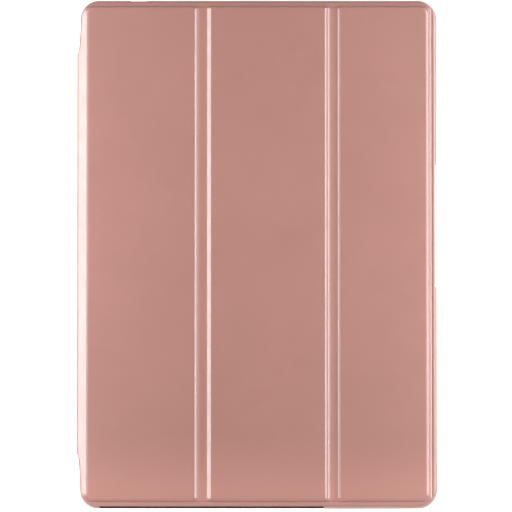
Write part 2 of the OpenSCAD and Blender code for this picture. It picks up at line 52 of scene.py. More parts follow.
class Graph:
    """One node material. Every method adds a node and returns its output socket."""

    def __init__(self, name):
        self.mat = bpy.data.materials.new(name)
        self.mat.use_nodes = True
        self.tree = self.mat.node_tree
        self.tree.nodes.clear()
        self.place = self.tree.nodes.new("ShaderNodeTexCoord").outputs["Object"]

    def add(self, kind, inputs=(), **settings):
        node = self.tree.nodes.new(kind)
        for key, value in settings.items():
            setattr(node, key, value)
        for key, value in dict(inputs).items():
            self.feed(node.inputs[key], value)
        return node

    def feed(self, socket, value):
        if isinstance(value, bpy.types.NodeSocket):
            self.tree.links.new(value, socket)
        elif isinstance(value, (tuple, list)) and len(value) == 3 and socket.type == "RGBA":
            socket.default_value = (*value, 1)
        else:
            socket.default_value = value

    def mapped(self, scale=(1, 1, 1), shift=(0, 0, 0)):
        """Object coordinates in millimetres, shifted and then scaled."""
        mm = self.add("ShaderNodeMapping", {"Vector": self.place, "Scale": (1000, 1000, 1000)}).outputs[0]
        shifted = self.add("ShaderNodeMapping", {"Vector": mm, "Location": shift})
        return self.add("ShaderNodeMapping", {"Vector": shifted.outputs[0], "Scale": scale}).outputs[0]

    def noise(self, size, detail=2.0, rough=0.5, scale=(1, 1, 1), distort=0.0):
        """Soft noise from 0 to 1 with features about size millimetres across."""
        inputs = {"Vector": self.mapped(scale), "Scale": 1 / size, "Detail": detail,
                  "Roughness": rough, "Distortion": distort}
        return self.add("ShaderNodeTexNoise", inputs).outputs["Fac"]

    def cells(self, size, feature="F1", jitter=1.0):
        """Distance to the middle of cells about size millimetres across; jitter 0 makes a square grid."""
        inputs = {"Vector": self.mapped(), "Scale": 1 / size, "Randomness": jitter}
        return self.add("ShaderNodeTexVoronoi", inputs, feature=feature).outputs["Distance"]

    def stripes(self, pitch, direction="X", distort=0.0, kind="BANDS", shift=(0, 0, 0), profile="SIN"):
        """Stripes or rings, pitch millimetres apart."""
        inputs = {"Vector": self.mapped(shift=shift), "Scale": WAVE_SCALE / pitch, "Distortion": distort}
        settings = {"wave_type": kind, "wave_profile": profile}
        settings["bands_direction" if kind == "BANDS" else "rings_direction"] = direction
        return self.add("ShaderNodeTexWave", inputs, **settings).outputs["Fac"]

    def math(self, op, a, b=0.0):
        node = self.add("ShaderNodeMath", operation=op)
        for socket, value in zip(node.inputs, (a, b)):
            self.feed(socket, value)
        return node.outputs[0]

    def fit(self, value, lo, hi, out_lo=0.0, out_hi=1.0, smooth=False):
        """The value's range lo to hi mapped to out_lo to out_hi, and clamped."""
        kind = "SMOOTHSTEP" if smooth else "LINEAR"
        node = self.add("ShaderNodeMapRange", interpolation_type=kind, clamp=True)
        for socket, item in zip(node.inputs, (value, lo, hi, out_lo, out_hi)):
            self.feed(socket, item)
        return node.outputs[0]

    def mix(self, factor, a, b):
        """Colour a at factor 0, colour b at factor 1."""
        node = self.add("ShaderNodeMix", data_type="RGBA")
        self.feed(node.inputs[0], factor)
        self.feed(node.inputs[6], a)
        self.feed(node.inputs[7], b)
        return node.outputs[2]

    def axis(self, name):
        """One object coordinate in millimetres."""
        return self.add("ShaderNodeSeparateXYZ", {"Vector": self.mapped()}).outputs[name]

    def bump(self, height, depth, strength=1.0, under=None):
        """A bump whose full height is depth millimetres."""
        inputs = {"Height": height, "Distance": depth * MM, "Strength": strength}
        if under is not None:
            inputs["Normal"] = under
        return self.add("ShaderNodeBump", inputs).outputs[0]

    def surface(self, **sockets):
        """The principled shader; keyword names are socket names with _ for a space."""
        inputs = {key.replace("_", " "): value for key, value in sockets.items()}
        shader = self.add("ShaderNodeBsdfPrincipled", inputs)
        out = self.add("ShaderNodeOutputMaterial")
        self.tree.links.new(shader.outputs[0], out.inputs["Surface"])
        return self.mat


def shade(color, factor):
    """A colour made darker or lighter."""
    return tuple(min(1.0, c * factor) for c in color)


def leather_material(name, color, grain):
    """Satin leather: fine pebbled grain, faint creases, soft patches of lighter and darker tone, painted
    light towards its bottom end and painted shade lines past the boards' ends.
    """
    g = Graph(name)
    patches = g.noise(34, 3, 0.55)
    blotch = g.noise(6.5, 4, 0.6)
    base = g.mix(g.fit(patches, 0.32, 0.68), shade(color, 0.955), shade(color, 1.04))
    base = g.mix(g.fit(blotch, 0.35, 0.7, 0, 0.35), base, shade(color, 0.93))
    mottle = g.noise(1.0, 3, 0.6)
    base = g.mix(g.fit(mottle, 0.3, 0.7, 0.3, 0), base, shade(color, 0.76))
    along = g.axis("Y")
    # Painted light: the colour is made lighter towards the leather's bottom end.
    painted_light = g.fit(along, *PAINTED_LIGHT_Y, 0, 1, smooth=True)
    base = g.mix(g.math("MULTIPLY", painted_light, 0.8), base, shade(color, 1.38))
    board_lo, board_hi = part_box("cover_board_2")
    # Painted shade: dark lines past the boards' ends, where the bevels' slopes and the gap at the top fall
    # into shade.
    for board_end, past, width, depth in ((board_hi, TOP_SHADE_LINE, 0.45, 0.62), (board_hi, RIM_SHADE_LINE, 0.5, 0.4),
                                          (board_lo, -BOTTOM_CREASE_AND_SHADE_LINE, 0.4, 0.35)):
        off_shade_line = g.math("ABSOLUTE", g.math("SUBTRACT", along, board_end[1] / MM + past))
        base = g.mix(g.fit(off_shade_line, width, 0.1, 0, depth, smooth=True), base, shade(color, 0.35))
    pebble = g.cells(grain, "SMOOTH_F1")
    pores = g.noise(grain * 0.8, 3, 0.6)
    height = g.math("ADD", pebble, g.math("MULTIPLY", pores, 0.7))
    base = g.mix(g.fit(height, 0.5, 1.1, 0, 0.22), base, shade(color, 0.84))
    fine = g.bump(height, 0.02, 0.32)
    slow = g.bump(g.noise(14, 2, 0.5), 0.35, 0.16, under=fine)
    rough = g.fit(g.math("ADD", blotch, g.math("MULTIPLY", pebble, 0.3)), 0.3, 1.1, 0.34, 0.5)
    return g.surface(Base_Color=base, Roughness=rough, Normal=slow, IOR=1.7,
                     Specular_IOR_Level=0.8, Sheen_Weight=0.05, Sheen_Roughness=0.4,
                     Sheen_Tint=(1.0, 0.88, 0.84), Coat_Weight=0.3, Coat_Roughness=0.3)


def lining_material(name, color):
    """Short-napped microfibre, brushed one way in places."""
    g = Graph(name)
    nap = g.noise(0.5, 4, 0.7, scale=(1, 0.45, 1))
    brushed = g.noise(22, 3, 0.6, distort=0.8)
    base = g.mix(g.fit(brushed, 0.35, 0.65), shade(color, 0.9), shade(color, 1.1))
    base = g.mix(g.fit(nap, 0.3, 0.75, 0, 0.5), base, shade(color, 0.72))
    return g.surface(Base_Color=base, Roughness=0.93, Specular_IOR_Level=0.2,
                     Normal=g.bump(nap, 0.12, 0.6), Sheen_Weight=0.7, Sheen_Roughness=0.5,
                     Sheen_Tint=(0.95, 0.92, 0.92))


def shell_material(name, color):
    """Satin moulded plastic with a spark-eroded texture, slightly lighter where handled, with painted shade
    on the floor of the port's cut-out.
    """
    g = Graph(name)
    spark = g.noise(0.35, 3, 0.65)
    handled = g.noise(28, 3, 0.5)
    base = g.mix(g.fit(handled, 0.35, 0.65), shade(color, 0.97), shade(color, 1.03))
    base = g.mix(g.fit(spark, 0.45, 0.8, 0, 0.12), base, shade(color, 0.85))
    # Painted shade: the floor of the port's cut-out is coloured dark, as it lies in shade under the flap.
    middle = (sum(PORT_CUT_X) / 2, sum(PORT_LEDGE_Y) / 2)
    half = ((PORT_CUT_X[1] - PORT_CUT_X[0]) / 2, (PORT_LEDGE_Y[1] - PORT_LEDGE_Y[0]) / 2)
    painted_shade_height = g.fit(g.math("ABSOLUTE", g.math("SUBTRACT", g.axis("Z"), PORT_LEDGE_Z)), 0.3, 0.15)
    base = g.mix(g.math("MULTIPLY", rect_mask(g, middle, half, 0.3), painted_shade_height), base, LEDGE_PAINTED_SHADE)
    return g.surface(Base_Color=base, Roughness=g.fit(handled, 0.3, 0.7, 0.4, 0.52),
                     Normal=g.bump(spark, 0.03, 0.35), Specular_IOR_Level=0.5,
                     Subsurface_Weight=0.08, Subsurface_Radius=(0.002, 0.0012, 0.001),
                     Coat_Weight=0.12, Coat_Roughness=0.3)


def anodised_material(name, color, blast=0.12):
    """Bead-blasted and anodised aluminium."""
    g = Graph(name)
    beads = g.cells(blast, "F1")
    cloud = g.noise(40, 2, 0.5)
    base = g.mix(g.fit(cloud, 0.35, 0.65), shade(color, 0.95), shade(color, 1.05))
    return g.surface(Base_Color=base, Metallic=0.92, Normal=g.bump(beads, 0.02, 0.25),
                     Roughness=g.fit(g.noise(1.6, 3, 0.6), 0.3, 0.7, 0.3, 0.4))


def rect_mask(g, centre, half, radius, soft=0.12):
    """1 inside a flat rounded rectangle of the object's X and Y, 0 outside."""
    def beyond(axis, middle, reach):
        offset = g.math("ABSOLUTE", g.math("SUBTRACT", g.axis(axis), middle))
        return g.math("MAXIMUM", g.math("SUBTRACT", offset, reach - radius), 0.0)
    dx = beyond("X", centre[0], half[0])
    dy = beyond("Y", centre[1], half[1])
    far = g.math("SQRT", g.math("ADD", g.math("MULTIPLY", dx, dx), g.math("MULTIPLY", dy, dy)))
    return g.fit(far, radius, radius - soft, 0, 1)


def glass_material(name):
    """Polished cover glass: a black printed border, a greyer display area and a camera eye."""
    g = Graph(name)
    lo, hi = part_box("lcd_panel")
    glass_lo, glass_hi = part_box("cover_glass")
    eye_lo, eye_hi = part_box("front_camera")
    middle = [(lo[i] + hi[i]) / 2 / MM for i in (0, 1)]
    half = [(hi[i] - lo[i]) / 2 / MM - 1.5 for i in (0, 1)]
    eye = [(eye_lo[i] + eye_hi[i]) / 2 / MM for i in (0, 1)]
    display = rect_mask(g, middle, half, 0.8)
    smear = g.noise(24, 5, 0.65, distort=1.2)
    speckle = g.fit(g.noise(0.2, 2, 0.5), 0.4, 0.7, 0, 0.3)
    border = g.mix(speckle, (0.006, 0.006, 0.007), (0.012, 0.012, 0.013))
    matrix = g.math("MULTIPLY", g.stripes(0.24, "X"), g.stripes(0.24, "Y"))
    lit = g.mix(matrix, (0.013, 0.014, 0.018), (0.022, 0.024, 0.03))
    base = g.mix(display, border, lit)
    ring = g.math("SUBTRACT", rect_mask(g, eye, (1.9, 1.9), 1.89), rect_mask(g, eye, (1.5, 1.5), 1.49))
    base = g.mix(ring, base, (0.05, 0.05, 0.055))
    base = g.mix(rect_mask(g, eye, (0.8, 0.8), 0.79), base, (0.02, 0.025, 0.06))
    grip = g.noise(60, 2, 0.5)
    edge_wear = rect_mask(g, [(glass_lo[i] + glass_hi[i]) / 2 / MM for i in (0, 1)],
                          [(glass_hi[i] - glass_lo[i]) / 2 / MM - 0.5 for i in (0, 1)], 6.0)
    rough = g.fit(g.math("MULTIPLY", smear, grip), 0.18, 0.42, 0.035, 0.13)
    rough = g.math("ADD", rough, g.fit(edge_wear, 0, 1, 0.1, 0))
    return g.surface(Base_Color=base, Roughness=rough, IOR=1.52, Coat_Weight=0.6, Coat_Roughness=0.03,
                     Normal=g.bump(g.noise(45, 1, 0.4), 0.02, 0.2))


def lens_material(name, node):
    """A coated lens over a dark stepped barrel."""
    g = Graph(name)
    lo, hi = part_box(node)
    centre = tuple(-(lo[i] + hi[i]) / 2 / MM for i in range(3))
    steps = g.stripes(0.42, "Z", kind="RINGS", shift=centre, profile="SAW")
    base = g.mix(steps, (0.01, 0.012, 0.02), (0.05, 0.06, 0.11))
    return g.surface(Base_Color=base, Roughness=g.fit(g.noise(2, 3, 0.5), 0.3, 0.7, 0.04, 0.1), IOR=1.7,
                     Normal=g.bump(steps, 0.02, 0.3), Coat_Weight=1.0, Coat_Roughness=0.02,
                     Coat_Tint=(0.75, 0.85, 1.0))


def plain_finish(name, color, rough, metal=0.0, pattern="grain", size=0.3, depth=0.02, contrast=0.15,
                 second=None, coat=0.0):
    """The finishes of the inner parts: a base colour broken up by one fine pattern and one soft patch."""
    g = Graph(name)
    if pattern == "brushed":
        mark = g.noise(size, 3, 0.6, scale=(0.04, 1, 1))
    elif pattern == "cells":
        mark = g.cells(size)
    elif pattern == "dots":
        mark = g.cells(size, jitter=0.0)
    elif pattern == "crinkle":
        mark = g.noise(size, 4, 0.7, distort=1.6)
    elif pattern == "fibres":
        lengthwise = g.noise(size, 3, 0.6, scale=(0.12, 1, 1))
        crosswise = g.noise(size, 3, 0.6, scale=(1, 0.12, 1))
        mark = g.math("MAXIMUM", lengthwise, crosswise)
    elif pattern == "lines":
        mark = g.stripes(size, "Y")
    elif pattern == "traces":
        lengthwise = g.fit(g.stripes(size, "X", 0.4), 0.7, 0.8)
        crosswise = g.fit(g.stripes(size * 1.7, "Y", 0.4), 0.8, 0.88)
        mark = g.math("MAXIMUM", lengthwise, crosswise)
    else:
        mark = g.noise(size, 3, 0.6)
    patches = g.noise(12, 3, 0.55)
    base = g.mix(g.fit(patches, 0.3, 0.7), shade(color, 1 - contrast / 2), shade(color, 1 + contrast / 2))
    mark_color = second or shade(color, 1 - 2 * contrast)
    base = g.mix(g.fit(mark, 0.35, 0.75, 0, 1 if second else 0.5), base, mark_color)
    normal = g.bump(mark, depth, 0.5)
    uneven = g.fit(g.math("ADD", patches, mark), 0.6, 1.4, max(0.04, rough - 0.07), rough + 0.08)
    return g.surface(Base_Color=base, Metallic=metal, Normal=normal, Roughness=uneven,
                     Coat_Weight=coat, Coat_Roughness=0.2)


# The floor of the shell's cut-out for the port, painted dark as the shade under the flap: its ends, its
# depth, its height and the painted shade's colour.
PORT_CUT_X = (-78.45, 33.35)
PORT_LEDGE_Y = (-127.3, -125.2)
PORT_LEDGE_Z = 2.6
LEDGE_PAINTED_SHADE = (0.085, 0.04, 0.03)

# Painted light: the leather is painted lighter between these places along Y, towards its bottom end.
PAINTED_LIGHT_Y = (-88, -128)
# How far past the boards' ends the painted shade lines on the leather lie; the bottom one is also where the
# pressed line lies.
TOP_SHADE_LINE = 0.45
RIM_SHADE_LINE = 2.8
BOTTOM_CREASE_AND_SHADE_LINE = 1.05

ROSE = (0.325, 0.148, 0.121)
SHELL = (0.50, 0.33, 0.285)
GRAPHITE = (0.07, 0.07, 0.075)

MATERIALS = {
    "cover_leather": leather_material("leather_rose", ROSE, 0.42),
    "lining": lining_material("microfibre_grey", (0.27, 0.25, 0.25)),
    "shell_plastic": shell_material("shell_satin", SHELL),
    "housing": anodised_material("housing_anodised", GRAPHITE),
    "key": anodised_material("key_anodised", shade(GRAPHITE, 1.3), 0.08),
    "glass": glass_material("cover_glass_black"),
    "lens": lens_material("lens_coated", "camera_lens"),
    "board": plain_finish("grey_board", (0.30, 0.26, 0.20), 0.85, pattern="fibres", size=0.6, depth=0.05),
    "adhesive": plain_finish("foam_black", (0.012, 0.012, 0.013), 0.9, pattern="cells", size=0.25,
                             depth=0.06),
    "lcd": plain_finish("display_stack", (0.02, 0.02, 0.026), 0.2, size=0.5, depth=0.01, coat=0.5),
    "guide": plain_finish("light_guide", (0.86, 0.87, 0.9), 0.3, pattern="dots", size=0.8, depth=0.01,
                          contrast=0.05),
    "pan": plain_finish("steel_pan", (0.56, 0.57, 0.58), 0.36, 1.0, "brushed", 0.35, 0.01),
    "flex": plain_finish("polyimide", (0.50, 0.20, 0.03), 0.34, pattern="lines", size=0.5, depth=0.02,
                         second=(0.62, 0.27, 0.05), coat=0.3),
    "cell": plain_finish("pouch_black", (0.018, 0.018, 0.02), 0.42, pattern="crinkle", size=5.0, depth=0.25,
                         contrast=0.3),
    "tape": plain_finish("stretch_tape", (0.80, 0.80, 0.77), 0.6, pattern="brushed", size=0.6, depth=0.03),
    "pcb": plain_finish("solder_mask", (0.008, 0.06, 0.03), 0.3, pattern="traces", size=0.9, depth=0.03,
                        second=(0.012, 0.10, 0.05), coat=0.4),
    "can": plain_finish("tinned_can", (0.60, 0.61, 0.62), 0.33, 1.0, "crinkle", 3.0, 0.04),
    "chip": plain_finish("epoxy_black", (0.014, 0.014, 0.015), 0.55, size=0.12, depth=0.02, contrast=0.3),
    "graphite": plain_finish("graphite_sheet", (0.03, 0.03, 0.033), 0.4, 0.5, "cells", 0.5, 0.03),
    "screw": plain_finish("zinc_screw", (0.48, 0.48, 0.5), 0.3, 1.0, "lines", 0.12, 0.01),
    "connector": plain_finish("stainless_port", (0.62, 0.62, 0.63), 0.24, 1.0, "brushed", 0.2, 0.01),
    "moulding": plain_finish("moulded_black", (0.016, 0.016, 0.017), 0.48, size=0.2, depth=0.03,
                             contrast=0.3),
    "magnet": plain_finish("nickel", (0.62, 0.61, 0.58), 0.16, 1.0, size=1.2, depth=0.01),
    "gold_can": plain_finish("gold_can", (0.75, 0.50, 0.17), 0.26, 1.0, "brushed", 0.2, 0.01),
    "flash": plain_finish("flash_diffuser", (0.88, 0.82, 0.66), 0.35, pattern="dots", size=0.35, depth=0.06,
                          contrast=0.06, coat=0.8),
}

slot_of = {part["node"]: part["material_slot"] for part in frame["record"]["subparts"]}
for node_name, node in NODES.items():
    node.data.materials.clear()
    node.data.materials.append(MATERIALS[slot_of[node_name]])


# ------------------------------------------------------------------ the cover's shape

def span(node, axis):
    """Lowest and highest value of a CAD node along an axis, in millimetres."""
    lo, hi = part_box(node)
    return lo[axis] / MM, hi[axis] / MM


BOARDS = [f"cover_board_{n}" for n in (1, 2, 3)]
BOARD_X = [span(node, 0) for node in BOARDS]
BOARD_LO_Y, BOARD_HI_Y = span(BOARDS[0], 1)
MID_Y = (BOARD_LO_Y + BOARD_HI_Y) / 2
BOARD_HALF_Y = (BOARD_HI_Y - BOARD_LO_Y) / 2
FLAP_LEFT = span("cover_skin_1", 0)[0]
FLAP_RIGHT = span("cover_skin_3", 0)[1]
FLAP_HALF_Y = (span("cover_skin_1", 1)[1] - span("cover_skin_1", 1)[0]) / 2
SPINE_LEFT = span("spine_skin", 0)[0]
SPINE_HALF_Y = span("spine_skin", 1)[1]
LINING_Z = span("cover_lining_1", 2)
COVER_TOP = span("cover_skin_2", 2)[1]
SKIN = COVER_TOP - span(BOARDS[0], 2)[1]
RIM_TOP = LINING_Z[1] + SKIN
RAISE = COVER_TOP - RIM_TOP
FLAP_CORNER = 9.0
FOLD_X = [(BOARD_X[0][1] + BOARD_X[1][0]) / 2, (BOARD_X[1][1] + BOARD_X[2][0]) / 2]

# The bevel in the leather round each board: how high it stands, as a share of the board's height,
# at distances in millimetres outward from the board's edge.
BEVELS = [
    {"left": [(-1.2, 1.0), (-0.65, 0.965), (-0.15, 0.88), (0.35, 0.74), (4.05, -0.5)],
     "right": [(-0.1, 1.0), (0.05, 0.97), (0.8, 0.62), (0.9, 0.55), (2.35, 0.13), (3.2, 0)]},
    {"left": [(-0.85, 1.0), (-0.6, 0.95), (1.15, 0.17), (1.3, 0.12), (2.4, 0.02), (2.8, 0)],
     "right": [(-1.15, 1.0), (-0.85, 0.97), (0.0, 0.655), (0.15, 0.6), (0.6, 0.53), (1.15, 0.33), (1.65, 0.2),
               (2.15, 0.11), (2.65, 0.06), (3.3, 0)]},
    {"left": [(0.1, 1.0), (0.3, 0.95), (0.75, 0.52), (1.45, 0.2), (2.9, 0.03), (3.3, 0)],
     "right": [(-1.2, 1.0), (-0.6, 0.92), (0.0, 0.75), (0.5, 0.52), (0.85, 0.14), (1.5, 0.12), (1.75, 0.02),
               (2.0, 0)]},
]
TOP_BEVEL = [(-0.6, 1.0), (-0.05, 0.97), (0.3, 0.5), (0.8, 0.3), (1.6, 0.12), (2.2, 0)]
BOTTOM_BEVEL = [(-2.0, 1.0), (-0.5, 0.93), (0.1, 0.8), (0.7, 0.3), (1.0, 0.1), (1.8, 0.02), (2.2, 0)]
# Each panel is very slightly crowned, from its edge to this far inside it.
CROWN = 0.05
CROWN_REACH = 14
# Corner radii of a board, at the flap's own corners and beside a fold.
OUTER_CORNER = 3.4
FOLD_CORNER = 0.8
# How far past the last board the line pressed along the free edge is.
SIDE_LINE = 1.88


def softened(points, blur=0.13, step=0.02):
    """A profile through the points with its corners rounded, as two arrays for np.interp."""
    at = np.arange(points[0][0] - 1, points[-1][0] + 1, step)
    value = np.interp(at, [p[0] for p in points], [p[1] for p in points])
    reach = round(3 * blur / step)
    kernel = np.exp(-0.5 * (np.arange(-reach, reach + 1) * step / blur) ** 2)
    padded = np.pad(value, reach, mode="edge")
    return at, np.convolve(padded, kernel / kernel.sum(), mode="valid")


PROFILES = [{side: softened(bevel[side]) for side in bevel} for bevel in BEVELS]
TOP_PROFILE = softened(TOP_BEVEL)
BOTTOM_PROFILE = softened(BOTTOM_BEVEL)


def raised(x, y, number):
    """The bevel's height as a share of the board's, and how far outside the board a point lies."""
    x0, x1 = BOARD_X[number]
    middle = (x0 + x1) / 2
    on_left = x < middle
    r = np.where(on_left, OUTER_CORNER if number == 0 else FOLD_CORNER,
                 OUTER_CORNER if number == 2 else FOLD_CORNER)
    qx = np.abs(x - middle) - (x1 - x0) / 2 + r
    qy = np.abs(y - MID_Y) - BOARD_HALF_Y + r
    away_x, away_y = np.maximum(qx, 0), np.maximum(qy, 0)
    away = np.hypot(away_x, away_y)
    outside = away + np.minimum(np.maximum(qx, qy), 0) - r
    share = np.where(away > 1e-6, (away_x / np.maximum(away, 1e-6)) ** 2, (qx > qy).astype(float))
    profile = PROFILES[number]
    side = np.where(on_left, np.interp(outside, *profile["left"]), np.interp(outside, *profile["right"]))
    end = np.where(y > MID_Y, np.interp(outside, *TOP_PROFILE), np.interp(outside, *BOTTOM_PROFILE))
    return side * share + end * (1 - share), outside


def crease(distance, width, depth):
    """A soft groove."""
    return -depth * np.exp(-(distance / width) ** 2)


def top_z(x, y):
    """Height of the leather's outer face over the closed screen."""
    lifts, z = [], np.full(np.shape(x), RIM_TOP)
    for number in range(3):
        lift, outside = raised(x, y, number)
        lifts.append(lift)
        z = z - CROWN * np.clip(1 + outside / CROWN_REACH, 0, 1) ** 2 * (outside < 0)
    z = z + RAISE * np.where(np.abs(lifts[1]) > 1e-4, np.maximum(np.maximum(lifts[0], lifts[2]), lifts[1]),
                             np.where(x < 0, lifts[0], lifts[2]))
    # Pressed lines at the foot of the bevel, along the bottom end and the free edge.
    past_end = np.abs(y - MID_Y) - BOARD_HALF_Y
    past_side = x - BOARD_X[2][1]
    z = z + crease(past_end - BOTTOM_CREASE_AND_SHADE_LINE, 0.3, 0.2) * (past_side < 1.5) * (y < MID_Y)
    z = z + crease(past_side - SIDE_LINE, 0.3, 0.18) * (past_end < 0.5)
    # Hand-glued leather never lies quite flat.
    z = z - 0.018 * (1 + np.sin(x / 9.7 + 1.3) * np.sin(y / 13.1 + 0.4))
    z = z - 0.014 * (1 + np.sin(x / 23.0 - y / 31.0))
    return z


def half_y(x):
    """Half the flap's length at x: rounded corners, and a flare from the spine's tab to the flap."""
    from_edge = np.minimum(x - FLAP_LEFT, FLAP_RIGHT - x)
    inner = FLAP_HALF_Y - FLAP_CORNER
    corner = np.sqrt(np.maximum(FLAP_CORNER ** 2 - np.maximum(FLAP_CORNER - from_edge, 0) ** 2, 0))
    flare = np.clip((x - SPINE_LEFT) / (FLAP_LEFT - SPINE_LEFT), 0, 1)
    tab = SPINE_HALF_Y + (inner - SPINE_HALF_Y) * flare ** 3
    return np.where(x < FLAP_LEFT, tab, inner + corner)


def edge_x(y):
    """The flap's left and right edge at y. Along the spine's tab there is no left edge."""
    off = np.abs(y - MID_Y)
    inner = FLAP_HALF_Y - FLAP_CORNER
    into = np.clip(off - inner, 0, FLAP_CORNER)
    corner = FLAP_CORNER - np.sqrt(np.maximum(FLAP_CORNER ** 2 - into ** 2, 0))
    flare = np.clip((off - SPINE_HALF_Y) / (inner - SPINE_HALF_Y), 0, 1) ** (1 / 3)
    left = np.where(off > inner, FLAP_LEFT + corner, SPINE_LEFT + (FLAP_LEFT - SPINE_LEFT) * flare)
    left = np.where(off < SPINE_HALF_Y, SPINE_LEFT - 50, left)
    return left, FLAP_RIGHT - corner


def inset(x, y):
    """Roughly how far a point lies inside the flap's outline."""
    left, right = edge_x(y)
    dy = np.maximum(half_y(x) - np.abs(y - MID_Y), 0)
    dx = np.maximum(np.minimum(x - left, right - x), 0)
    return dx * dy / np.maximum(np.hypot(dx, dy), 1e-9)


def rolled(depth, r, width=None):
    """How far an edge rounded by r drops at that depth inside it; width flattens the round."""
    t = np.clip(depth / (width or r), 0, 1)
    return r * (1 - np.sqrt(1 - (1 - t) ** 2))


def spaced(*stops):
    """Values through the given (value, step) stops: each step holds until the next stop."""
    values = [stops[0][0]]
    for (a, step), (b, _) in zip(stops, stops[1:]):
        count = max(1, round((b - a) / step))
        values += [a + (b - a) * i / count for i in range(1, count + 1)]
    return np.array(values)


def make_object(name, points, faces, material):
    """A visible piece from points in millimetres."""
    mesh = bpy.data.meshes.new(name)
    mesh.from_pydata([tuple(p * MM for p in point) for point in points], [], faces)
    mesh.materials.append(MATERIALS[material])
    obj = bpy.data.objects.new(name, mesh)
    bpy.context.scene.collection.objects.link(obj)
    return obj


def weld(obj, dist):
    """Joins points closer than dist millimetres and turns all faces outward."""
    bm = bmesh.new()
    bm.from_mesh(obj.data)
    bmesh.ops.remove_doubles(bm, verts=bm.verts, dist=dist * MM)
    bmesh.ops.dissolve_degenerate(bm, edges=bm.edges, dist=dist * MM * 0.1)
    bmesh.ops.recalc_face_normals(bm, faces=bm.faces)
    bm.to_mesh(obj.data)
    bm.free()
    obj.data.shade_smooth()
    obj.data.set_sharp_from_angle(angle=math.radians(50))


def closed_sheet(name, outer, inner, material):
    """A closed sheet from two grids of points, outer and inner face, each [column, row, xyz]."""
    columns, rows = outer.shape[:2]
    count = columns * rows
    points = np.concatenate([outer.reshape(-1, 3), inner.reshape(-1, 3)])
    at = np.arange(count).reshape(columns, rows)
    faces = []

    def strip(a, b, flip):
        for i in range(len(a) - 1):
            quad = (a[i], a[i + 1], b[i + 1], b[i])
            faces.append(quad[::-1] if flip else quad)

    for i in range(columns - 1):
        strip(at[i], at[i + 1], True)
        strip(at[i] + count, at[i + 1] + count, False)
    strip(at[0], at[0] + count, False)
    strip(at[-1], at[-1] + count, True)
    strip(at[:, 0], at[:, 0] + count, True)
    strip(at[:, -1], at[:, -1] + count, False)
    obj = make_object(name, points, [tuple(int(i) for i in face) for face in faces], material)
    weld(obj, 0.004)
    return obj


def flap_rows():
    """Places along Y, close together at the two ends of the flap and its boards."""
    end = FLAP_HALF_Y
    board = BOARD_HALF_Y
    upper = spaced((0, 7.5), (90, 1.5), (SPINE_HALF_Y, 1.2), (end - FLAP_CORNER, 0.5),
                   (board - 0.8, 0.14), (board + 2.0, 0.2), (end - 0.5, 0.08), (end, 1))
    return MID_Y + np.concatenate([-upper[:0:-1], upper])


ROWS = flap_rows()
# The hem turned under the flap's edge, and the length over which it thins out to the single leather.
HEM = 2.6
HEM_END = 0.5
# The round along the flap's edge: how far it drops, and how wide it is on the outer face.
EDGE_R = 0.44
EDGE_W = 1.3
# Thickness of the leather over the boards.
OVER_BOARD_T = 0.42


def flap_grid(columns, half):
    """X and Y of every point of a sheet: half is its half length at each column."""
    limit = half[:, None]
    x = np.repeat(columns[:, None], len(ROWS), 1)
    return x, MID_Y + np.clip(ROWS[None, :] - MID_Y, -limit, limit)


def flap_faces(columns):
    """Outer and inner grids of the leather over the screen, with its hem turned under."""
    x, y = flap_grid(columns, half_y(columns))
    depth = inset(x, y)
    drop = rolled(depth, EDGE_R)
    outer = np.stack([x, y, top_z(x, y) - rolled(depth, EDGE_R, EDGE_W)], 2)
    hem = np.clip((depth - HEM) / HEM_END, 0, 1)
    hem = hem * hem * (3 - 2 * hem)
    under_board = np.maximum(outer[:, :, 2] - OVER_BOARD_T, LINING_Z[1] + 0.01)
    turned_z = LINING_Z[0] + 0.02 + drop
    inner_z = turned_z * (1 - hem) + under_board * hem
    inner = np.stack([x, y, np.minimum(inner_z, outer[:, :, 2] - 0.02)], 2)
    return outer, inner


# The seams between the pieces of leather lie this far inside a panel, and half way up the spine.
SEAM_IN = 7.0
SEAM_X = [BOARD_X[0][1] - SEAM_IN, BOARD_X[1][1] - SEAM_IN]
SPINE_SEAM_Z = 7.4
# Leather on the spine, on the shell's back, and how much thinner it is where it meets the flap.
LEATHER_T = 0.6
STRIP_T = 0.8
CORNER_THINNING = 0.35
# The spine's upper corner, which meets the first panel at a slope, and its lower one.
CORNER_R = 1.8
CORNER_SLOPE = math.radians(23.5)
LOW_CORNER_R = 5.3
FLAT_FROM = SPINE_LEFT + CORNER_R * (1 - math.sin(CORNER_SLOPE))
# The round along the spine's two ends, and along the strip's edge on the back.
SPINE_EDGE_R = 0.28
SPINE_EDGE_W = 0.5
STRIP_EDGE_R = 0.35
# Steps between columns where the leather bends, and where it is flat.
FINE = 0.2
COARSE = 4.0


